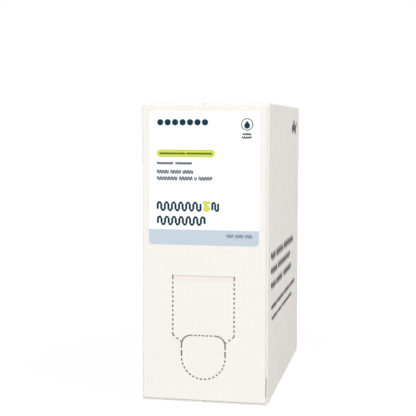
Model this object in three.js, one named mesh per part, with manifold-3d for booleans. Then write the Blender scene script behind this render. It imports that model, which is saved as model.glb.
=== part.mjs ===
// A sealed bag-in-box refill pack for liquid hand soap, in millimetres, +Z up.
// The carton is one corrugated blank, folded into a tall box and glued. The narrow front panel faces -Y.
// It carries a paper label above and a perforated tear-out for the tap below.
// The origin is the middle of the base, on the surface that the pack stands on.

import * as THREE from 'three';
import { mergeVertices } from 'three/addons/utils/BufferGeometryUtils.js';
import Module from 'manifold-3d';

const wasm = await Module();
wasm.setup();

// Overall size of the carton
const cartonWidth = 84.2;
const cartonDepth = 175;
const cartonHeight = 198;

// The corrugated board, its folds and its flaps
const boardThickness = 1.2;
const foldRadius = 1.3;
const flapEndInset = 1.5;
const flapSeamGap = 0.5;

// The glued corner at the front right, where the front panel's cut edge stands back from the side
const jointSetback = 1.4;
const tabFoldRadius = 0.7;
const jointSlitWidth = 0.8;
const jointSlitDepth = 2.2;
const jointSlitBottom = 5.1;
const jointSlitLength = 13.3;

// The tear-out: a flap that hinges on a crease, above an arch that is pushed out
const creaseTop = 85.1;
const creaseWidth = 2.8;
const creaseDepth = 0.4;
const flapWidth = 41.2;
const archBottom = 16;
const archWidth = 29.4;
const archLength = 29.2;
const archCornerRadius = 6.4;
const shoulderAngle = THREE.MathUtils.degToRad(15);

// The perforation: short cuts through the board, with ties of board left between them
const cutWidth = 0.8;
const cutLength = 1.5;
const flapTieLength = 1.55;
const archTieLength = 1.3;
const hingeCutLength = 2.9;
const topCutsSpan = 14.3;
const cornerCutTail = 2.4;
const sideCutLength = 4.15;

// The label
const labelWidth = 73.4;
const labelHeight = 87.2;
const labelThickness = 0.2;
const labelTopMargin = 5.5;
const labelCornerRadius = 2.2;

// Straight steps in each round stretch
const arcSegments = 8;

// Planes and centres that the sizes above give
const left = -cartonWidth / 2;
const right = cartonWidth / 2;
const front = -cartonDepth / 2;
const back = cartonDepth / 2;
const frontPanelEdge = right - jointSetback;
const frontPanelCentre = (left + frontPanelEdge) / 2;

// Extrusion frames: where a drawing's own x, y and depth point on the pack
const alongX = new THREE.Matrix4().makeBasis(
  new THREE.Vector3(0, 1, 0), new THREE.Vector3(0, 0, 1), new THREE.Vector3(1, 0, 0));
const towardsFront = new THREE.Matrix4().makeBasis(
  new THREE.Vector3(1, 0, 0), new THREE.Vector3(0, 0, 1), new THREE.Vector3(0, -1, 0));

/** Extrudes a drawing by a length, then stands it up in a frame and shifts it to where it starts. */
function extrude(drawing, length, frame = new THREE.Matrix4(), start = [0, 0, 0]) {
  const geometry = new THREE.ExtrudeGeometry(drawing, {
    depth: length, bevelEnabled: false, curveSegments: arcSegments,
  });
  return geometry.applyMatrix4(frame).translate(...start);
}

/** Turns a closed geometry into a solid that can be joined and cut. */
function solidOf(geometry) {
  const bare = geometry.clone();
  bare.deleteAttribute('normal');
  bare.deleteAttribute('uv');
  const merged = mergeVertices(bare);
  return new wasm.Manifold(new wasm.Mesh({
    numProp: 3,
    vertProperties: new Float32Array(merged.attributes.position.array),
    triVerts: new Uint32Array(merged.index.array),
  }));
}

/** Turns a solid back into a geometry. */
function geometryOf(solid) {
  const mesh = solid.getMesh();
  const geometry = new THREE.BufferGeometry();
  geometry.setAttribute('position', new THREE.BufferAttribute(new Float32Array(mesh.vertProperties), 3));
  geometry.setIndex(new THREE.BufferAttribute(new Uint32Array(mesh.triVerts), 1));
  geometry.computeVertexNormals();
  return geometry;
}

/** A rectangle between two corners, with round corners. */
function roundedRectangle(x0, y0, x1, y1, radius) {
  const outline = new THREE.Shape();
  outline.moveTo(x0 + radius, y0);
  outline.absarc(x1 - radius, y0 + radius, radius, -Math.PI / 2, 0);
  outline.absarc(x1 - radius, y1 - radius, radius, 0, Math.PI / 2);
  outline.absarc(x0 + radius, y1 - radius, radius, Math.PI / 2, Math.PI);
  outline.absarc(x0 + radius, y0 + radius, radius, Math.PI, 1.5 * Math.PI);
  return outline;
}

/** A box between two corners. */
function block(low, high) {
  const size = new THREE.Vector3(...high).sub(new THREE.Vector3(...low));
  const geometry = new THREE.BoxGeometry(size.x, size.y, size.z);
  return solidOf(geometry.translate(low[0] + size.x / 2, low[1] + size.y / 2, low[2] + size.z / 2));
}

/** The carton seen from above: three folded corners, and the glued one with the front panel's cut edge. */
function cartonPlan() {
  const plan = new THREE.Shape();
  plan.moveTo(left + foldRadius, front);
  plan.lineTo(frontPanelEdge, front);
  plan.lineTo(frontPanelEdge, front + boardThickness);
  plan.absarc(right - tabFoldRadius, front + boardThickness + tabFoldRadius, tabFoldRadius, -Math.PI / 2, 0);
  plan.absarc(right - foldRadius, back - foldRadius, foldRadius, 0, Math.PI / 2);
  plan.absarc(left + foldRadius, back - foldRadius, foldRadius, Math.PI / 2, Math.PI);
  plan.absarc(left + foldRadius, front + foldRadius, foldRadius, Math.PI, 1.5 * Math.PI);
  return plan;
}

/** The front and back panels with the inner flaps, which fold over at their top and bottom edges. */
function panelsAndInnerFlaps() {
  const profile = roundedRectangle(front, boardThickness, back, cartonHeight - boardThickness, foldRadius);
  return solidOf(extrude(profile, cartonWidth, alongX, [left, 0, 0]));
}

/** The side panels with the outer flaps, which meet in the middle, top and bottom. */
function sidesAndOuterFlaps() {
  const profile = roundedRectangle(left, 0, right, cartonHeight, foldRadius);
  const length = cartonDepth - 2 * flapEndInset;
  const flaps = solidOf(extrude(profile, length, towardsFront, [0, back - flapEndInset, 0]));
  const seamSide = flapSeamGap / 2;
  const topSeam = block(
    [-seamSide, front, cartonHeight - boardThickness], [seamSide, back, cartonHeight + boardThickness]);
  const bottomSeam = block([-seamSide, front, -boardThickness], [seamSide, back, boardThickness]);
  return flaps.subtract(topSeam).subtract(bottomSeam);
}

/** The open end of the glued corner, where the glue tab stops short of the base. */
function jointSlit() {
  return block(
    [frontPanelEdge, front - boardThickness, jointSlitBottom],
    [frontPanelEdge + jointSlitWidth, front + jointSlitDepth, jointSlitBottom + jointSlitLength]);
}

/** The pressed crease that the tear-out's flap turns on, a shallow channel of round section. */
function crease() {
  const rise = creaseWidth / 2;
  const middle = creaseTop - rise;
  const radius = (rise * rise + creaseDepth * creaseDepth) / (2 * creaseDepth);
  const half = Math.asin(rise / radius);
  const section = new THREE.Shape();
  section.moveTo(front - boardThickness, middle - rise);
  section.absarc(front + creaseDepth - radius, middle, radius, -half, half);
  section.lineTo(front - boardThickness, middle + rise);
  return solidOf(extrude(section, flapWidth, alongX, [frontPanelCentre - flapWidth / 2, 0, 0]));
}

/** Where cuts start and end along a line, spread evenly, with a cut or a tie at each end of the line. */
function spreadCuts(length, tieLength, tiedEnds) {
  const tiesMinusCuts = tiedEnds ? 1 : -1;
  const fitting = Math.round((length - tiesMinusCuts * tieLength) / (cutLength + tieLength));
  const count = Math.max(2, fitting);
  const tie = (length - count * cutLength) / (count + tiesMinusCuts);
  const first = tiedEnds ? tie : 0;
  return Array.from({ length: count }, (_, i) => {
    const start = first + i * (cutLength + tie);
    return [start, start + cutLength];
  });
}

/** One cut through the board, as wide as the blade, along a path on the front panel from start to end. */
function cutAlong(path, start, end) {
  const steps = path.curves.some((curve) => curve instanceof THREE.EllipseCurve) ? arcSegments : 1;
  const total = path.getLength();
  const sides = [[], []];
  for (let i = 0; i <= steps; i += 1) {
    const u = THREE.MathUtils.clamp((start + ((end - start) * i) / steps) / total, 0, 1);
    const point = path.getPointAt(u);
    const across = path.getTangentAt(u).rotateAround(new THREE.Vector2(), Math.PI / 2);
    sides[0].push(point.clone().addScaledVector(across, -cutWidth / 2));
    sides[1].unshift(point.clone().addScaledVector(across, cutWidth / 2));
  }
  const outline = new THREE.Shape([...sides[0], ...sides[1]]);
  return solidOf(extrude(outline, 2 * boardThickness, towardsFront, [0, front + boardThickness, 0]));
}

/** The cuts along one path: those that the spans give, or one over its whole length. */
function cutsAlong(path, spans = [[0, path.getLength()]]) {
  return spans.map(([start, end]) => cutAlong(path, start, end));
}

/** A straight line on the front panel. */
function line(from, to) {
  return new THREE.Path([new THREE.Vector2(...from), new THREE.Vector2(...to)]);
}

/** The cuts at one side of the flap: from the crease down, then inwards over the shoulder to the arch. */
function flapCuts(side) {
  const edge = frontPanelCentre + (side * flapWidth) / 2;
  const archTop = archBottom + archLength;
  const hingeCutEnd = creaseTop - hingeCutLength;
  const cornerX = frontPanelCentre + side * (archWidth / 2 - archCornerRadius);
  const cornerZ = archTop - archCornerRadius;
  const shoulderEnd = [
    cornerX + side * archCornerRadius * Math.cos(shoulderAngle),
    cornerZ + archCornerRadius * Math.sin(shoulderAngle),
  ];
  const hingeCut = line([edge, creaseTop], [edge, hingeCutEnd]);
  const sideLine = line([edge, hingeCutEnd - flapTieLength], [edge, archTop]);
  const shoulder = line([edge, archTop], shoulderEnd);
  return [
    ...cutsAlong(hingeCut),
    ...cutsAlong(sideLine, spreadCuts(sideLine.getLength(), flapTieLength, false)),
    ...cutsAlong(shoulder, spreadCuts(shoulder.getLength(), flapTieLength, false)),
  ];
}

/** The two unbroken cuts at one side of the arch: round its top corner, and down its side. */
function archSideCuts(side) {
  const edge = frontPanelCentre + (side * archWidth) / 2;
  const archTop = archBottom + archLength;
  const cornerX = edge - side * archCornerRadius;
  const cornerZ = archTop - archCornerRadius;
  const sideCutTop = cornerZ - cornerCutTail - archTieLength;

  const corner = new THREE.Path();
  corner.moveTo(edge, cornerZ - cornerCutTail);
  corner.absarc(cornerX, cornerZ, archCornerRadius, side > 0 ? 0 : Math.PI, Math.PI / 2, side < 0);
  corner.lineTo(frontPanelCentre + (side * topCutsSpan) / 2, archTop);

  const sideCut = line([edge, sideCutTop], [edge, sideCutTop - sideCutLength]);
  return [...cutsAlong(corner), ...cutsAlong(sideCut)];
}

/** The short cuts across the top of the arch and round its lower half. */
function archShortCuts() {
  const archTop = archBottom + archLength;
  const archRadius = archWidth / 2;
  const top = line(
    [frontPanelCentre - topCutsSpan / 2, archTop], [frontPanelCentre + topCutsSpan / 2, archTop]);
  const lowerArc = new THREE.Path();
  lowerArc.absarc(frontPanelCentre, archBottom + archRadius, archRadius, Math.PI, 2 * Math.PI);
  return [
    ...cutsAlong(top, spreadCuts(top.getLength(), archTieLength, true)),
    ...cutsAlong(lowerArc, spreadCuts(lowerArc.getLength(), archTieLength, true)),
  ];
}

/** The folded and glued carton, sealed round its contents. */
function carton() {
  const plan = solidOf(extrude(cartonPlan(), cartonHeight));
  const folded = panelsAndInnerFlaps().add(sidesAndOuterFlaps()).intersect(plan);
  const cutters = [jointSlit(), crease(), ...archShortCuts()];
  for (const side of [-1, 1]) cutters.push(...flapCuts(side), ...archSideCuts(side));
  const solid = cutters.reduce((part, cutter) => part.subtract(cutter), folded);
  const material = new THREE.MeshStandardMaterial({ color: 0xf3efea, roughness: 0.75, metalness: 0 });
  const mesh = new THREE.Mesh(geometryOf(solid), material);
  mesh.name = 'carton';
  return mesh;
}

/** The paper label, stuck flat on the front panel. */
function frontLabel() {
  const top = cartonHeight - labelTopMargin;
  const outline = roundedRectangle(
    -labelWidth / 2, top - labelHeight, labelWidth / 2, top, labelCornerRadius);
  const geometry = extrude(outline, labelThickness, towardsFront);
  const material = new THREE.MeshStandardMaterial({ color: 0xfdfdfd, roughness: 0.5, metalness: 0 });
  const mesh = new THREE.Mesh(geometry, material);
  mesh.name = 'front_label';
  mesh.position.set(frontPanelCentre, front, 0);
  return mesh;
}

const refillPack = new THREE.Group();
refillPack.add(carton(), frontLabel());

export default refillPack;
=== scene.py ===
"""A sealed bag-in-box refill pack for liquid hand soap: a folded and glued carton with a paper label.

The CAD model gives the carton's size and the label's place. The carton's folds, cut edges, perforation
and crease are modelled here on that size. The print on it is made of discs, bars and winding strokes.
"""

import math

import bmesh
import bpy
from mathutils import Euler, Matrix, Quaternion, Vector


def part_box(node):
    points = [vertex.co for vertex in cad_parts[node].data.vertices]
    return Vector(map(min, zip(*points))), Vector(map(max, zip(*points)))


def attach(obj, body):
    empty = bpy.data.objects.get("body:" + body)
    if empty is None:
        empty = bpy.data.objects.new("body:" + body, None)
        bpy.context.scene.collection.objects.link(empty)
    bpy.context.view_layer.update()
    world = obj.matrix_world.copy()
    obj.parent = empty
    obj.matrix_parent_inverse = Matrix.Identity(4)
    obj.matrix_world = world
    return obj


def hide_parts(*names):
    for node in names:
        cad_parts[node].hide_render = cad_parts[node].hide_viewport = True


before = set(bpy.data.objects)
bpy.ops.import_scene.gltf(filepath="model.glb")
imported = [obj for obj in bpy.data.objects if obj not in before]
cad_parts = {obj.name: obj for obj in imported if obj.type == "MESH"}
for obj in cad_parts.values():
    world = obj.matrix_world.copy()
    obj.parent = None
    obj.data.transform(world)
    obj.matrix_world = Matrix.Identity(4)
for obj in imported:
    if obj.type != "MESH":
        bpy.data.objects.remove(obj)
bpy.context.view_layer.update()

MM = 0.001

# The carton and the label, as the CAD model has them
(LEFT, FRONT, BASE), (RIGHT, BACK, TOP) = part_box("carton")
LABEL_LOW, LABEL_HIGH = (Vector(corner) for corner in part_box("front_label"))

# The board, its folds and its flaps
BOARD = 1.2 * MM
FOLD_RADIUS = 1.3 * MM
FOLD_STEPS = 8
FLAP_END_INSET = 1.5 * MM
SEAM_GAP = 0.5 * MM
LINER = 0.25 * MM
CORE_RECESS = 0.15 * MM

# The glued corner at the front right
JOINT_SETBACK = 1.4 * MM
TAB_FOLD = 0.7 * MM
SLIT_WIDTH = 0.8 * MM
SLIT_DEPTH = 2.2 * MM
SLIT_BOTTOM = 5.1 * MM
SLIT_LENGTH = 13.3 * MM
PANEL_EDGE = RIGHT - JOINT_SETBACK
PANEL_CENTRE = (LEFT + PANEL_EDGE) / 2

# The tear-out
CREASE_TOP = 85.1 * MM
CREASE_WIDTH = 2.8 * MM
CREASE_DEPTH = 0.4 * MM
CREASE_ROWS = 10
CREASE_LEAN = 0.6
FLAP_WIDTH = 41.2 * MM
ARCH_BOTTOM = 16.0 * MM
ARCH_RADIUS = 14.7 * MM
ARCH_TOP = ARCH_BOTTOM + 29.2 * MM
ARCH_CORNER = 6.4 * MM
SHOULDER_ANGLE = math.radians(15)

# The perforation's cuts, and the ties of board between them
CUT_WIDTH = 0.8 * MM
CUT_LENGTH = 1.5 * MM
CUT_LIP = 0.12 * MM
CREASE_END = CUT_WIDTH / 4
FLAP_TIE = 1.55 * MM
ARCH_TIE = 1.3 * MM
HINGE_CUT = 2.9 * MM
TOP_CUTS_SPAN = 14.3 * MM
CORNER_TAIL = 2.4 * MM
SIDE_CUT = 4.15 * MM
CORNER_STEPS = 12

# How the shape's faces and points are told apart: nearly straight, turned more to the front than to the
# side, and close enough to be one
STRAIGHT = 0.99
MORE_TO_THE_FRONT = 0.7
SAME_PLACE = 0.01 * MM
SAME_POINT = 0.001 * MM
SMOOTH_ANGLE = math.radians(30)

# The label's own corners and its soft cut edge
LABEL_CORNER = 2.2 * MM
LABEL_CORNER_STEPS = 12
LABEL_EDGE = 0.06 * MM
LABEL_EDGE_STEPS = 3

# The print on the label, in millimetres across and up from the middle of the base
BAND_TOP = 115.35
BEAD_COUNT = 7
BEAD_START = -29.6
BEAD_PITCH = 4.98
BEAD_MIDDLE = 185.5
BEAD_RADIUS = 2.08
RING_CENTRE = (27.9, 184.15)
RING_RADIUS = 3.7
RING_STROKE = 0.55
DROP_CENTRE = (27.9, 183.3)
DROP_RADIUS = 1.9
DROP_TIP = 3.4
PILL = (-31.8, 6.7)
PILL_MIDDLE = 165.25
PILL_HEIGHT = 4.6
RIM = 0.35
BUBBLES = [((1.4, 129.45), 2.1), ((0.4, 132.9), 1.4), ((2.9, 133.1), 1.0)]

# Lines of print without words, each a stroke that winds up and down: its start, its pitch, its middle,
# its height and its width, and then how many turns each stretch takes and how many are left out after it
LABEL_LINES = [
    (25.25, 0.64, 177.85, 1.6, 0.58, [(8, 0)]),
    (24.65, 0.67, 175.75, 1.6, 0.58, [(9, 0)]),
    (-31.75, 0.70, 158.8, 1.8, 0.62, [(15, 3), (15, 0)]),
    (-31.6, 0.91, 153.2, 2.7, 0.70, [(8, 2), (7, 2), (7, 0)]),
    (-31.6, 0.93, 148.9, 2.7, 0.70, [(14, 2), (9, 2), (1, 2), (9, 0)]),
    (-31.4, 2.40, 130.5, 6.5, 1.45, [(12, 0)]),
    (5.2, 1.95, 130.6, 6.5, 1.4, [(2, 0)]),
    (-31.25, 2.41, 121.1, 6.3, 1.45, [(13, 0)]),
]
PILL_LINE = (-30.0, 0.60, 165.2, 1.6, 0.50, [(5, 1), (12, 1), (9, 2), (13, 1), (14, 0)])
BAND_LINE = (15.0, 0.82, 111.6, 2.3, 0.38, [(5, 2), (6, 2), (5, 0)])

# The print on the right side, in millimetres back and up from the middle of the base
SIDE_BUBBLES = [((43.4, 181.2), 3.5), ((52.0, 183.4), 4.7), ((61.2, 180.8), 3.9), ((67.8, 184.6), 2.4)]
SIDE_LINES = [
    (-73.0, 3.4, 96.6, 6.3, 2.8, [(6, 2), (10, 2), (16, 0)]),
    (-73.0, 3.0, 86.7, 5.6, 2.4, [(10, 2), (23, 0)]),
    (-72.0, 3.0, 76.8, 5.6, 2.55, [(7, 2), (10, 3), (15, 0)]),
    (-70.0, 2.1, 62.0, 4.0, 1.85, [(12, 2), (17, 2), (14, 2), (14, 0)]),
    (-68.0, 1.8, 54.3, 3.4, 1.55, [(16, 2), (11, 2), (31, 0)]),
]

# The patterns in the board and the paper, in millimetres: how far apart or how large, and how high
FLUTE_PITCH = 3.4
FLUTE_HEIGHT = 0.012
CLOUD_SIZE = 8.0
FIBRE_SIZE = 0.5
FIBRE_HEIGHT = 0.03
CUT_FIBRE_HEIGHT = 0.15
PAPER_FIBRE_HEIGHT = 0.01
STREAK_HEIGHT = 0.05
SWELL_SIZE = 40.0
SWELL_HEIGHT = 0.4
PAPER_SWELL_HEIGHT = 0.25
INK_HEIGHT = 0.012
INK_DEPTH = 0.3
INK_BLUR = 0.06

# The crease's pink tint with painted shade, in millimetres: how soft its top edge is, how wide it is, and
# how far it fades out
CREASE_EDGE = 0.3
CREASE_TINT_WIDTH = 3.3
CREASE_FADE = 2.4

# How strongly each pattern tones the board, and how much longer than wide the streaks and fibres are
CLOUD_TONE = 0.6
FIBRE_TONE = 0.5
STREAK_TONE = 0.4
FLUTE_TONE = 0.05
FIBRE_CONTRAST = 2.0
STREAK_STRETCH = 25
FIBRE_STRETCH = 3
FRONT_MOTTLE = 0.6
SIDE_MOTTLE = 1.5

# How rough each surface is, how far that varies, and how much smoother ink is
BOARD_ROUGHNESS = 0.66
BOARD_SPREAD = 0.2
RAW_ROUGHNESS = 0.9
PAPER_ROUGHNESS = 0.42
PAPER_SPREAD = 0.1
INK_SMOOTHING = 0.08
FLOOR_ROUGHNESS = 0.9
GLOSS = 0.05

# Colours, as a screen shows them
BOARD_LIT = (0.968, 0.957, 0.939)
BOARD_SHADED = (0.916, 0.901, 0.88)
# The crease's colour: pinker than the board, and darker as painted shade in the crease
BOARD_CREASE_PINK_AND_SHADE = (0.92, 0.883, 0.857)
CORE_PALE = (0.962, 0.949, 0.928)
CORE_SHADED = (0.915, 0.899, 0.873)
# The inside of the perforation's cuts: browner than the board, and darker as painted shade in the cuts
CUT_SHADE_PALE = (0.80, 0.755, 0.735)
CUT_SHADE_DARK = (0.67, 0.625, 0.605)
PAPER_LIT = (1.0, 1.0, 1.0)
PAPER_SHADED = (0.975, 0.975, 0.975)
BAND_BLUE = (0.77, 0.816, 0.862)
INK_TEAL = (0.0, 0.205, 0.275)
INK_LIME = (0.84, 0.88, 0.25)
INK_OLIVE = (0.64, 0.68, 0.26)
INK_BLACK = (0.06, 0.06, 0.08)
FLOOR_PALE = (0.65, 0.65, 0.65)

# The view: where it is taken from, how far it is turned, tilted and rolled, and how strong the lens is
PICTURE_WIDTH = 416
VIEW_FROM = Vector((131.55, -730.28, 181.57)) * MM
VIEW_TURN = -0.1984
VIEW_TILT = -0.0788
VIEW_ROLL = 0.0021
FOCAL_PIXELS = 1008.4
SENSOR_WIDTH = 36

# The kinds of ray by which the viewer sees a thing
SEEING_RAYS = ("Camera", "Glossy", "Transmission")

# The lamps and the floor, in metres and watts
KEY_PLACE = Vector((-1.45, -3.85, 0.9))
KEY_SIZE = 2.4
KEY_WATTS = 113.5
FILL_PLACE = Vector((2.2, -0.9, 0.9))
FILL_SIZE = 1.4
FILL_WATTS = 31.0
AMBIENT = 0.49
FLOOR_SIZE = 8.0
FLOOR_THICKNESS = 20 * MM
FLOOR_DROP = 0.1 * MM
FLOOR_GLOW = 0.7
FLOOR_STRENGTH = 1.31

# Where the floor's shadow fades out, in millimetres from the middle of the pack
SHADOW_REACH = 600.0
SHADOW_FADE = 900.0


class Socket:
    """A node's output. Python's own signs do sums with it, | takes the higher value and & the lower."""

    def __init__(self, nodes, output):
        self.nodes = nodes
        self.output = output

    def math(self, operation, *values):
        return self.nodes.node("ShaderNodeMath", {"operation": operation}, dict(enumerate(values)))

    def __add__(self, other):
        return self.math("ADD", self, other)

    def __radd__(self, other):
        return self.math("ADD", other, self)

    def __sub__(self, other):
        return self.math("SUBTRACT", self, other)

    def __rsub__(self, other):
        return self.math("SUBTRACT", other, self)

    def __mul__(self, other):
        return self.math("MULTIPLY", self, other)

    def __rmul__(self, other):
        return self.math("MULTIPLY", other, self)

    def __truediv__(self, other):
        return self.math("DIVIDE", self, other)

    def __abs__(self):
        return self.math("ABSOLUTE", self)

    def __or__(self, other):
        return self.math("MAXIMUM", self, other)

    def __and__(self, other):
        return self.math("MINIMUM", self, other)

    def sine(self):
        return self.math("SINE", self)

    def cosine(self):
        return self.math("COSINE", self)

    def root(self):
        return self.math("SQRT", self)

    def floor(self):
        return self.math("FLOOR", self)


class Nodes:
    """Adds nodes to a material or to the world."""

    def __init__(self, tree):
        self.tree = tree

    def node(self, kind, settings=None, inputs=None, output=0):
        """Adds a node: its settings first, then the values or links of its sockets."""
        made = self.tree.nodes.new(kind)
        for name, value in (settings or {}).items():
            setattr(made, name, value)
        for name, value in (inputs or {}).items():
            if isinstance(value, Socket):
                self.tree.links.new(value.output, made.inputs[name])
            else:
                made.inputs[name].default_value = value
        return Socket(self, made.outputs[output])

    def seen_straight(self):
        """1 for a ray that the viewer sees, straight or in a gloss, and 0 for one that only lights."""
        rays = [self.node("ShaderNodeLightPath", output=f"Is {kind} Ray") for kind in SEEING_RAYS]
        return rays[0] | rays[1] | rays[2]


class Finish(Nodes):
    """A material that is being made. Its lengths are millimetres in the pack's own frame."""

    def __init__(self, name, roughness):
        self.material = bpy.data.materials.new(name)
        self.material.use_nodes = True
        super().__init__(self.material.node_tree)
        self.shader = self.tree.nodes["Principled BSDF"]
        self.shader.inputs["Roughness"].default_value = roughness
        self.shader.inputs["Specular IOR Level"].default_value = GLOSS
        self.place = self.node("ShaderNodeTexCoord", output="Object")
        axes = [self.node("ShaderNodeSeparateXYZ", inputs={0: self.place}, output=axis) for axis in "XYZ"]
        self.x, self.y, self.z = (axis / MM for axis in axes)

    def noise(self, size, detail=2.0, stretch=(1, 1, 1)):
        """A cloudy pattern about 0, with lumps of a size in millimetres, stretched along the axes."""
        scale = [1 / (size * MM * factor) for factor in stretch]
        place = self.node("ShaderNodeMapping", inputs={"Vector": self.place, "Scale": scale})
        cloud = self.node("ShaderNodeTexNoise", inputs={"Vector": place, "Scale": 1.0, "Detail": detail})
        return cloud - 0.5

    def blend(self, mask, under, over):
        """One colour laid over another where a mask says."""
        under, over = (c if isinstance(c, Socket) else linear(c) for c in (under, over))
        return self.node("ShaderNodeMix", {"data_type": "RGBA"}, {0: mask, 6: under, 7: over}, output=2)

    def vary(self, name, value):
        """Links a pattern to one of the shader's sockets."""
        self.tree.links.new(value.output, self.shader.inputs[name])

    def relief(self, height):
        """Raises the surface by a height in millimetres, for light and shade only."""
        bump = self.node("ShaderNodeBump", inputs={"Height": height, "Distance": MM, "Strength": 1.0})
        self.vary("Normal", bump)


def linear(colour):
    """A screen's colour as the light it stands for."""
    return [c / 12.92 if c <= 0.04045 else ((c + 0.055) / 1.055) ** 2.4 for c in colour] + [1.0]


def inside(distance, blur=INK_BLUR):
    """1 inside a shape, where its distance in millimetres is below zero, and 0 outside it."""
    return ((0.5 - distance / blur) | 0.0) & 1.0


def far_from(u, v, centre):
    """How far off a point is."""
    across, up = u - centre[0], v - centre[1]
    return (across * across + up * up).root()


def disc(u, v, centre, radius):
    """A round spot."""
    return inside(far_from(u, v, centre) - radius)


def bar(u, v, start, end, middle, height):
    """A bar with round ends."""
    half = height / 2
    across = (abs(u - (start + end) / 2) - ((end - start) / 2 - half)) | 0.0
    up = v - middle
    return inside((across * across + up * up).root() - half)


def any_of(marks):
    """The marks laid together as one mask."""
    marks = list(marks)
    together = marks[0]
    for mark in marks[1:]:
        together = together | mark
    return together


def print_line(u, v, start, pitch, middle, height, width, stretches):
    """A stroke that winds up and down with round turns, and is left out here and there as between words."""
    count = sum(drawn + left_out for drawn, left_out in stretches)
    along = (u - start) / pitch
    turn = (along.floor() | 0.0) & (count - 1.0)
    across = (along - turn - 0.5) * pitch
    up = (v - middle) * (turn * math.pi).cosine()
    straight = (height - width - pitch) / 2
    above = (up - straight) | 0.0
    below = (-straight - up) | 0.0
    off = (across * across + above * above).root() - pitch / 2
    stroke = inside((off * off + below * below).root() - width / 2)
    parts = []
    for drawn, left_out in stretches:
        end = start + drawn * pitch
        parts.append(inside(abs(u - (start + end) / 2) - (end - start + width) / 2))
        start = end + left_out * pitch
    return stroke & any_of(parts)


def drop(u, v, centre, radius, tip):
    """A droplet: a round spot that runs up to a point."""
    lean = math.asin(radius / tip)
    side = abs(u - centre[0]) * math.cos(lean) - (centre[1] + tip - v) * math.sin(lean)
    above = centre[1] + radius * math.sin(lean) - v
    return disc(u, v, centre, radius) | (inside(side) & inside(above))


def bubbles(finish, colour, u, v):
    """Lime bubbles with an olive rim, laid over a colour."""
    for centre, radius in BUBBLES:
        colour = finish.blend(disc(u, v, centre, radius), colour, INK_OLIVE)
        colour = finish.blend(disc(u, v, centre, radius - RIM), colour, INK_LIME)
    return colour


def board_finish(name, across, mottle):
    """White-lined board: a matt, faintly cloudy sheet, whose flutes show through it as fine stripes."""
    finish = Finish(name, BOARD_ROUGHNESS)
    along = {"x": finish.x, "y": finish.y}[across]
    flute = (along * (2 * math.pi / FLUTE_PITCH)).sine()
    cloud = finish.noise(CLOUD_SIZE)
    fibre = finish.noise(FIBRE_SIZE, detail=3.0)
    streak = finish.noise(FLUTE_PITCH, stretch=(1, 1, STREAK_STRETCH))
    swell = finish.noise(SWELL_SIZE) * SWELL_HEIGHT
    mottled = cloud * CLOUD_TONE + fibre * FIBRE_TONE + streak * STREAK_TONE + flute * FLUTE_TONE
    raised = flute * FLUTE_HEIGHT + fibre * FIBRE_HEIGHT + streak * STREAK_HEIGHT
    finish.tone = mottled * mottle + 0.5
    finish.height = raised * mottle + swell
    finish.vary("Roughness", fibre * BOARD_SPREAD + BOARD_ROUGHNESS)
    return finish


def front_board():
    """The board of the front and back, with the crease of the tear-out's flap tinted faintly pink and
    darkened with painted shade.
    """
    finish = board_finish("front_board", "x", FRONT_MOTTLE)
    below = CREASE_TOP / MM - finish.z
    # A band down from the crease's top, tinted pink and painted darker as shade in the crease
    crease_pink_and_shade = inside(0.0 - below, CREASE_EDGE) & inside(below - CREASE_TINT_WIDTH, CREASE_FADE)
    reach = abs(finish.x - PANEL_CENTRE / MM) - FLAP_WIDTH / MM / 2
    flap_crease_pink_and_shade = crease_pink_and_shade & inside(reach) & inside(finish.y - (FRONT + BOARD) / MM)
    colour = finish.blend(finish.tone, BOARD_SHADED, BOARD_LIT)
    finish.vary("Base Color", finish.blend(flap_crease_pink_and_shade, colour, BOARD_CREASE_PINK_AND_SHADE))
    finish.relief(finish.height)
    return finish.material


def side_board():
    """The board of the sides, the top and the base, with the dark print on the right side."""
    finish = board_finish("side_board", "y", SIDE_MOTTLE)
    y, z = finish.y, finish.z
    spots = any_of(disc(y, z, centre, radius) for centre, radius in SIDE_BUBBLES)
    lines = any_of(print_line(y, z, *line) for line in SIDE_LINES)
    printed = (spots | lines) & inside(RIGHT / MM - INK_DEPTH - finish.x)
    colour = finish.blend(finish.tone, BOARD_SHADED, BOARD_LIT)
    finish.vary("Base Color", finish.blend(printed, colour, INK_BLACK))
    finish.relief(finish.height + printed * INK_HEIGHT)
    return finish.material


def raw_board(name, pale, shaded):
    """The inside of the board, fuzzy where a blade has cut it."""
    finish = Finish(name, RAW_ROUGHNESS)
    fibre = finish.noise(FIBRE_SIZE, detail=3.0, stretch=(1, 1, FIBRE_STRETCH))
    finish.vary("Base Color", finish.blend(fibre * FIBRE_CONTRAST + 0.5, shaded, pale))
    finish.relief(fibre * CUT_FIBRE_HEIGHT)
    return finish.material


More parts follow.
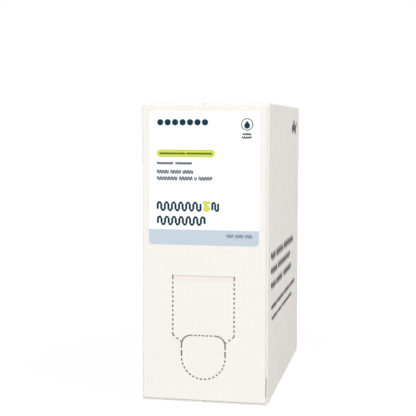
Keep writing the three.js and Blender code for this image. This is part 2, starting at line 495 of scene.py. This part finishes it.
def printed_paper():
    """Smooth white label paper and its print."""
    finish = Finish("printed_label", PAPER_ROUGHNESS)
    x, z = finish.x, finish.z
    fibre = finish.noise(FIBRE_SIZE)
    colour = finish.blend(fibre * FIBRE_CONTRAST + 0.5, PAPER_SHADED, PAPER_LIT)
    colour = finish.blend(inside(z - BAND_TOP), colour, BAND_BLUE)

    start, end = PILL
    pill = bar(x, z, start, end, PILL_MIDDLE, PILL_HEIGHT)
    inner = bar(x, z, start + RIM, end - RIM, PILL_MIDDLE, PILL_HEIGHT - 2 * RIM)
    colour = finish.blend(pill, colour, INK_OLIVE)
    colour = finish.blend(inner, colour, INK_LIME)

    beads = any_of(
        disc(x, z, (BEAD_START + number * BEAD_PITCH, BEAD_MIDDLE), BEAD_RADIUS)
        for number in range(BEAD_COUNT)
    )
    ring = inside(abs(far_from(x, z, RING_CENTRE) - RING_RADIUS) - RING_STROKE / 2)
    lines = any_of(print_line(x, z, *line) for line in (*LABEL_LINES, PILL_LINE, BAND_LINE))
    printed = beads | ring | lines | drop(x, z, DROP_CENTRE, DROP_RADIUS, DROP_TIP)
    colour = finish.blend(printed, colour, INK_TEAL)
    colour = bubbles(finish, colour, x, z)
    finish.vary("Base Color", colour)
    inked = printed | pill
    finish.vary("Roughness", PAPER_ROUGHNESS + fibre * PAPER_SPREAD - inked * INK_SMOOTHING)
    swell = finish.noise(SWELL_SIZE) * PAPER_SWELL_HEIGHT
    finish.relief(fibre * PAPER_FIBRE_HEIGHT + inked * INK_HEIGHT + swell)
    return finish.material


def edit(piece):
    """Opens a piece for editing, with nothing in it selected."""
    choose(piece)
    bpy.ops.object.mode_set(mode="EDIT")
    bpy.ops.mesh.select_all(action="DESELECT")


def done():
    """Closes the piece that is open for editing."""
    bpy.ops.object.mode_set(mode="OBJECT")


def choose(piece):
    """Selects one piece and nothing else."""
    bpy.ops.object.select_all(action="DESELECT")
    bpy.context.view_layer.objects.active = piece
    piece.select_set(True)


def select(piece, kind, wanted):
    """Selects the parts of an open piece, of one kind, that are wanted, and no others."""
    bpy.ops.mesh.select_mode(type=kind)
    bpy.ops.mesh.select_all(action="DESELECT")
    mesh = bmesh.from_edit_mesh(piece.data)
    for part in {"VERT": mesh.verts, "EDGE": mesh.edges, "FACE": mesh.faces}[kind]:
        part.select_set(wanted(part))
    bmesh.update_edit_mesh(piece.data)


def select_points(piece, wanted):
    """Selects the points of an open piece whose place is wanted."""
    select(piece, "VERT", lambda point: wanted(point.co))


def select_edges(piece, wanted):
    """Selects the edges of an open piece whose two ends are wanted."""
    select(piece, "EDGE", lambda edge: wanted(*(point.co for point in edge.verts)))


def select_faces(piece, wanted):
    """Selects the faces of an open piece whose middle and normal are wanted."""
    select(piece, "FACE", lambda face: wanted(face.calc_center_median(), face.normal))


def near(a, b):
    """Whether two lengths are the same."""
    return abs(a - b) < SAME_PLACE


def block(name, low, high):
    """Adds a box between two corners."""
    low, high = Vector(low), Vector(high)
    bpy.ops.object.select_all(action="DESELECT")
    bpy.ops.mesh.primitive_cube_add(size=1, location=(low + high) / 2, scale=high - low)
    bpy.ops.object.transform_apply(location=True, rotation=True, scale=True)
    piece = bpy.context.object
    piece.name = name
    return piece


def round_edges(piece, wanted, radius, steps):
    """Rounds the wanted edges of a piece."""
    edit(piece)
    select_edges(piece, wanted)
    bpy.ops.mesh.bevel(offset=radius, segments=steps, profile=0.5, affect="EDGES")
    done()


def modify(piece, kind, **settings):
    """Puts a modifier on a piece and applies it."""
    choose(piece)
    bpy.ops.object.modifier_add(type=kind)
    modifier = piece.modifiers[-1]
    for name, value in settings.items():
        setattr(modifier, name, value)
    bpy.ops.object.modifier_apply(modifier=modifier.name)


def combine(piece, other, operation):
    """Joins, cuts or intersects a piece with another one, which is used up."""
    modify(piece, "BOOLEAN", operation=operation, solver="EXACT", use_self=True,
           material_mode="TRANSFER", object=other)
    bpy.data.objects.remove(other)
    return piece


def join(pieces):
    """Makes one object of several."""
    choose(pieces[0])
    for piece in pieces:
        piece.select_set(True)
    bpy.ops.object.join()
    return pieces[0]


def smooth(piece, angle):
    """Shades a piece smooth, with its flat faces kept flat beside their rounded edges."""
    choose(piece)
    bpy.ops.object.shade_smooth_by_angle(angle=angle)
    modify(piece, "WEIGHTED_NORMAL", keep_sharp=True)


def panels_and_inner_flaps():
    """The front and back panels with the four inner flaps, as one closed loop round the inside."""
    piece = block("panels", (LEFT, FRONT, BASE + BOARD), (RIGHT, BACK, TOP - BOARD))
    round_edges(piece, lambda a, b: near(a.y, b.y) and near(a.z, b.z), FOLD_RADIUS, FOLD_STEPS)
    return piece


def sides_and_outer_flaps():
    """The side panels with the four outer flaps, whose ends stop short of the front and back."""
    piece = block("sides", (LEFT, FRONT + FLAP_END_INSET, BASE), (RIGHT, BACK - FLAP_END_INSET, TOP))
    round_edges(piece, lambda a, b: near(a.x, b.x) and near(a.z, b.z), FOLD_RADIUS, FOLD_STEPS)
    half = SEAM_GAP / 2
    for low, high in ((BASE - BOARD, BASE + BOARD), (TOP - BOARD, TOP + BOARD)):
        seam = block("seam", (-half, FRONT - BOARD, low), (half, BACK + BOARD, high))
        combine(piece, seam, "DIFFERENCE")
    return piece


def carton_plan():
    """The carton from above, as a tall prism: three folded corners, and the glued one with its step."""
    def upright(a, b):
        return near(a.x, b.x) and near(a.y, b.y)

    def folded(a, b):
        return upright(a, b) and not (near(a.x, RIGHT) and near(a.y, FRONT))

    def tab_fold(a, b):
        return upright(a, b) and near(a.x, RIGHT) and near(a.y, FRONT + BOARD)

    piece = block("plan", (LEFT, FRONT, BASE - BOARD), (RIGHT, BACK, TOP + BOARD))
    round_edges(piece, folded, FOLD_RADIUS, FOLD_STEPS)
    step = block("step", (PANEL_EDGE, FRONT - BOARD, BASE - 2 * BOARD),
                 (RIGHT + BOARD, FRONT + BOARD, TOP + 2 * BOARD))
    combine(piece, step, "DIFFERENCE")
    round_edges(piece, tab_fold, TAB_FOLD, FOLD_STEPS)
    return piece


def open_cut_edges(piece):
    """Sinks the core between the liners, at the flaps' ends and the front panel's right edge."""
    low, high = BASE + BOARD, TOP - BOARD
    near_left, near_right = LEFT + FOLD_RADIUS, RIGHT - FOLD_RADIUS

    def flap_end(middle, normal):
        return abs(normal.y) > STRAIGHT and near(abs(middle.y), BACK - FLAP_END_INSET)

    def straight_end(middle, normal):
        between_folds = near_left < middle.x < near_right and not low < middle.z < high
        return between_folds and flap_end(middle, normal)

    def panel_edge(middle, normal):
        return normal.x > STRAIGHT and near(middle.x, PANEL_EDGE) and middle.y < FRONT + BOARD

    def straight_edge(middle, normal):
        return low + FOLD_RADIUS < middle.z < high - FOLD_RADIUS and panel_edge(middle, normal)

    edit(piece)
    for x in (near_left, -SEAM_GAP / 2, SEAM_GAP / 2, near_right):
        select_faces(piece, flap_end)
        bpy.ops.mesh.bisect(plane_co=(x, 0, 0), plane_no=(1, 0, 0))
    for z in (low + FOLD_RADIUS, high - FOLD_RADIUS):
        select_faces(piece, panel_edge)
        bpy.ops.mesh.bisect(plane_co=(0, 0, z), plane_no=(0, 0, 1))
    bpy.ops.mesh.select_all(action="SELECT")
    bpy.ops.mesh.remove_doubles(threshold=SAME_POINT)
    for wanted in (straight_end, straight_edge):
        select_faces(piece, wanted)
        bpy.ops.mesh.inset(thickness=LINER, depth=-CORE_RECESS)
    done()


def press_crease(piece):
    """Presses the crease of the tear-out's flap into the front panel, as a shallow dip with soft sides."""
    half = FLAP_WIDTH / 2
    ends = (half - CREASE_END, half + CREASE_END)
    edges = [PANEL_CENTRE + side * end for side in (-1, 1) for end in ends]
    rows = [CREASE_TOP - CREASE_WIDTH * row / CREASE_ROWS for row in range(CREASE_ROWS + 1)]

    def on_front(middle, normal):
        return near(middle.y, FRONT)

    edit(piece)
    for x in edges:
        select_faces(piece, on_front)
        bpy.ops.mesh.bisect(plane_co=(x, 0, 0), plane_no=(1, 0, 0))
    for z in rows:
        select_faces(piece, on_front)
        bpy.ops.mesh.bisect(plane_co=(0, 0, z), plane_no=(0, 0, 1))
    for row, z in enumerate(rows):
        way_down = (row / CREASE_ROWS) ** CREASE_LEAN
        depth = CREASE_DEPTH * (1 - math.cos(2 * math.pi * way_down)) / 2
        select_points(piece, lambda at: near(at.z, z) and near(at.y, FRONT)
                      and abs(at.x - PANEL_CENTRE) < half)
        bpy.ops.transform.translate(value=(0, depth, 0))
    done()


def blade(stretches, finish):
    """Models what one cut takes out of the board, from the middle of the base and to the right.

    Each stretch has a length and an angle that it turns by, to the left where it is above zero.
    """
    depth = BOARD - CUT_LIP
    bpy.ops.object.select_all(action="DESELECT")
    bpy.ops.mesh.primitive_plane_add(size=1)
    piece = bpy.context.object
    piece.data.materials.append(finish)
    edit(piece)
    bpy.ops.mesh.select_all(action="SELECT")
    bpy.ops.transform.resize(value=(CUT_WIDTH, depth, 1), center_override=(0, 0, 0))
    select_edges(piece, lambda a, b: near(a.y, -depth / 2) and near(b.y, -depth / 2))
    bpy.ops.mesh.extrude_region_move(TRANSFORM_OT_translate={"value": (0, -2 * CUT_LIP, 0)})
    bpy.ops.transform.resize(value=(1 + 4 * CUT_LIP / CUT_WIDTH, 1, 1), center_override=(0, 0, 0))
    bpy.ops.mesh.select_mode(type="FACE")
    bpy.ops.mesh.select_all(action="SELECT")
    bpy.ops.transform.rotate(value=math.pi / 2, orient_axis="Y", center_override=(0, 0, 0))
    bpy.ops.transform.translate(value=(0, FRONT + CUT_LIP + depth / 2, 0))
    at, heading = Vector((0, 0)), 0.0
    for length, turn in stretches:
        if turn:
            left = Vector((-math.sin(heading), math.cos(heading)))
            centre = at + left * length / turn
            bpy.ops.mesh.spin(steps=CORNER_STEPS, angle=-turn,
                              center=(centre.x, 0, centre.y), axis=(0, -1, 0))
            heading += turn
            at = centre - Vector((-math.sin(heading), math.cos(heading))) * length / turn
        else:
            step = Vector((math.cos(heading), math.sin(heading))) * length
            bpy.ops.mesh.extrude_region_move(TRANSFORM_OT_translate={"value": (step.x, 0, step.y)})
            at += step
    bpy.ops.mesh.select_all(action="SELECT")
    bpy.ops.mesh.normals_make_consistent(inside=False)
    done()
    return piece


def laid(piece, x, z, heading):
    """A copy of a blade, laid on the front from a point and along a heading."""
    copy = piece.copy()
    copy.data = piece.data.copy()
    copy.data.transform(Matrix.Translation((x, 0, z)) @ Matrix.Rotation(-heading, 4, "Y"))
    bpy.context.scene.collection.objects.link(copy)
    return copy


def spread_cuts(length, tie, tied_ends):
    """Where cuts start along a line, spread evenly, with a cut or a tie at each end of the line."""
    ties_minus_cuts = 1 if tied_ends else -1
    count = max(2, round((length - ties_minus_cuts * tie) / (CUT_LENGTH + tie)))
    even_tie = (length - count * CUT_LENGTH) / (count + ties_minus_cuts)
    first = even_tie if tied_ends else 0
    return [first + number * (CUT_LENGTH + even_tie) for number in range(count)]


def line_of_cuts(short_cut, start, end, tie, tied_ends):
    """Short cuts in a straight line from one point to another."""
    start, end = Vector(start), Vector(end)
    way = (end - start).normalized()
    places = [start + way * run for run in spread_cuts((end - start).length, tie, tied_ends)]
    return [laid(short_cut, at.x, at.y, math.atan2(way.y, way.x)) for at in places]


def perforation(finish):
    """The blades for every cut of the tear-out: the flap's sides, its shoulders, and the arch."""
    short_cut = blade([(CUT_LENGTH, 0)], finish)
    hinge_cut = blade([(HINGE_CUT, 0)], finish)
    side_cut = blade([(SIDE_CUT, 0)], finish)
    bent_cut = blade([(CUT_LENGTH, CUT_LENGTH / ARCH_RADIUS)], finish)
    corner_run = ARCH_RADIUS - ARCH_CORNER - TOP_CUTS_SPAN / 2
    quarter = math.pi / 2
    corner_cuts = {
        side: blade([(corner_run, 0), (ARCH_CORNER * quarter, -side * quarter), (CORNER_TAIL, 0)], finish)
        for side in (-1, 1)
    }
    down = -quarter
    side_top = CREASE_TOP - HINGE_CUT - FLAP_TIE
    corner_end = ARCH_TOP - ARCH_CORNER - CORNER_TAIL
    round_middle = ARCH_BOTTOM + ARCH_RADIUS
    half_top = TOP_CUTS_SPAN / 2
    cuts = line_of_cuts(short_cut, (PANEL_CENTRE - half_top, ARCH_TOP), (PANEL_CENTRE + half_top, ARCH_TOP),
                        ARCH_TIE, True)
    for side in (-1, 1):
        edge = PANEL_CENTRE + side * FLAP_WIDTH / 2
        corner = PANEL_CENTRE + side * (ARCH_RADIUS - ARCH_CORNER * (1 - math.cos(SHOULDER_ANGLE)))
        shoulder = ARCH_TOP - ARCH_CORNER * (1 - math.sin(SHOULDER_ANGLE))
        cuts.append(laid(hinge_cut, edge, CREASE_TOP, down))
        cuts += line_of_cuts(short_cut, (edge, side_top), (edge, ARCH_TOP), FLAP_TIE, False)
        cuts += line_of_cuts(short_cut, (edge, ARCH_TOP), (corner, shoulder), FLAP_TIE, False)
        heading = 0 if side > 0 else math.pi
        cuts.append(laid(corner_cuts[side], PANEL_CENTRE + side * half_top, ARCH_TOP, heading))
        cuts.append(laid(side_cut, PANEL_CENTRE + side * ARCH_RADIUS, corner_end - ARCH_TIE, down))
    for run in spread_cuts(math.pi * ARCH_RADIUS, ARCH_TIE, True):
        angle = math.pi + run / ARCH_RADIUS
        x = PANEL_CENTRE + ARCH_RADIUS * math.cos(angle)
        z = round_middle + ARCH_RADIUS * math.sin(angle)
        cuts.append(laid(bent_cut, x, z, angle + quarter))
    for pattern in (short_cut, hinge_cut, side_cut, bent_cut, *corner_cuts.values()):
        bpy.data.objects.remove(pattern)
    return join(cuts)


def joint_slit(finish):
    """The blade for the slit at the foot of the glued corner."""
    piece = block("slit", (PANEL_EDGE, FRONT - BOARD, SLIT_BOTTOM),
                  (PANEL_EDGE + SLIT_WIDTH, FRONT + SLIT_DEPTH, SLIT_BOTTOM + SLIT_LENGTH))
    piece.data.materials.append(finish)
    return piece


def paint_board(piece, finishes):
    """Gives the front and back, the sides and flaps, and the cut edges each their finish."""
    def sunk_core(middle, normal):
        in_flap = middle.z > TOP - BOARD or middle.z < BASE + BOARD
        flap_core = in_flap and near(abs(middle.y), BACK - FLAP_END_INSET - CORE_RECESS)
        panel_core = near(middle.x, PANEL_EDGE - CORE_RECESS) and middle.y < FRONT + BOARD
        return flap_core or panel_core

    piece.data.materials.clear()
    for finish in finishes:
        piece.data.materials.append(finish)
    edit(piece)
    choices = (
        lambda middle, normal: abs(normal.y) >= MORE_TO_THE_FRONT,
        lambda middle, normal: abs(normal.y) < MORE_TO_THE_FRONT,
        sunk_core,
    )
    for number, wanted in enumerate(choices):
        select_faces(piece, wanted)
        piece.active_material_index = number
        bpy.ops.object.material_slot_assign()
    done()


def folded_carton():
    """The carton: one blank, folded and glued, with its tear-out perforated in the front."""
    # The cuts' inside is browner and darker than the board's core; the darkness is painted shade
    cut_inside_painted_shade = raw_board("cut_inside_painted_shade", CUT_SHADE_PALE, CUT_SHADE_DARK)
    piece = combine(panels_and_inner_flaps(), sides_and_outer_flaps(), "UNION")
    combine(piece, carton_plan(), "INTERSECT")
    piece.name = "folded_carton"
    open_cut_edges(piece)
    press_crease(piece)
    core = raw_board("board_core", CORE_PALE, CORE_SHADED)
    paint_board(piece, (front_board(), side_board(), core))
    combine(piece, perforation(cut_inside_painted_shade), "DIFFERENCE")
    combine(piece, joint_slit(core), "DIFFERENCE")
    smooth(piece, SMOOTH_ANGLE)
    return piece


def paper_label():
    """The label, with its own round corners and a soft cut edge."""
    def corner(a, b):
        return near(a.x, b.x) and near(a.z, b.z)

    def rim(a, b):
        return near(a.y, LABEL_LOW.y) and near(b.y, LABEL_LOW.y)

    piece = block("paper_label", LABEL_LOW, LABEL_HIGH)
    round_edges(piece, corner, LABEL_CORNER, LABEL_CORNER_STEPS)
    round_edges(piece, rim, LABEL_EDGE, LABEL_EDGE_STEPS)
    piece.data.materials.append(printed_paper())
    smooth(piece, SMOOTH_ANGLE)
    return piece


def softbox(name, place, size, watts):
    """A square lamp that faces the pack."""
    lamp = bpy.data.lights.new(name, "AREA")
    lamp.size = size
    lamp.energy = watts
    holder = bpy.data.objects.new(name, lamp)
    bpy.context.scene.collection.objects.link(holder)
    holder.location = place
    holder.rotation_mode = "QUATERNION"
    holder.rotation_quaternion = (place - Vector((0, 0, TOP / 2))).to_track_quat("Z", "Y")


def studio_world():
    """A white surround to look at, which lights the pack only a little."""
    world = bpy.data.worlds.new("studio")
    world.use_nodes = True
    nodes = Nodes(world.node_tree)
    backdrop = nodes.tree.nodes["Background"]
    backdrop.inputs["Color"].default_value = (1, 1, 1, 1)
    strength = nodes.seen_straight() * (1 - AMBIENT) + AMBIENT
    nodes.tree.links.new(strength.output, backdrop.inputs["Strength"])
    bpy.context.scene.world = world


def studio_floor():
    """A plain pale floor that looks white and keeps a little of the pack's shadow."""
    piece = block("floor", (-FLOOR_SIZE / 2, -FLOOR_SIZE / 2, BASE - FLOOR_THICKNESS),
                  (FLOOR_SIZE / 2, FLOOR_SIZE / 2, BASE - FLOOR_DROP))
    finish = Finish("pale_floor", FLOOR_ROUGHNESS)
    finish.shader.inputs["Base Color"].default_value = linear(FLOOR_PALE)
    glow = finish.node("ShaderNodeEmission", inputs={"Color": (1, 1, 1, 1), "Strength": FLOOR_STRENGTH})
    away = (finish.x * finish.x + finish.y * finish.y).root()
    shaded = inside(away - SHADOW_REACH, SHADOW_FADE) * (1 - FLOOR_GLOW)
    share = finish.seen_straight() * (1.0 - shaded)
    matt = Socket(finish, finish.shader.outputs[0])
    mixed = finish.node("ShaderNodeMixShader", inputs={0: share, 1: matt, 2: glow})
    finish.tree.links.new(mixed.output, finish.tree.nodes["Material Output"].inputs["Surface"])
    piece.data.materials.append(finish.material)


def camera():
    """The photograph's view."""
    lens = bpy.data.cameras.new("camera")
    lens.sensor_width = SENSOR_WIDTH
    lens.lens = SENSOR_WIDTH * FOCAL_PIXELS / PICTURE_WIDTH
    holder = bpy.data.objects.new("camera", lens)
    bpy.context.scene.collection.objects.link(holder)
    holder.location = VIEW_FROM
    holder.rotation_mode = "QUATERNION"
    aim = Euler((math.pi / 2 + VIEW_TILT, 0, -VIEW_TURN)).to_quaternion()
    holder.rotation_quaternion = aim @ Quaternion((0, 0, 1), VIEW_ROLL)
    bpy.context.scene.camera = holder


carton = folded_carton()
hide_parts("carton")
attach(carton, "root")

label = paper_label()
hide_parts("front_label")
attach(label, "root")

studio_world()
studio_floor()
softbox("key", KEY_PLACE, KEY_SIZE, KEY_WATTS)
softbox("fill", FILL_PLACE, FILL_SIZE, FILL_WATTS)
camera()
bpy.context.scene.view_settings.view_transform = "Standard"
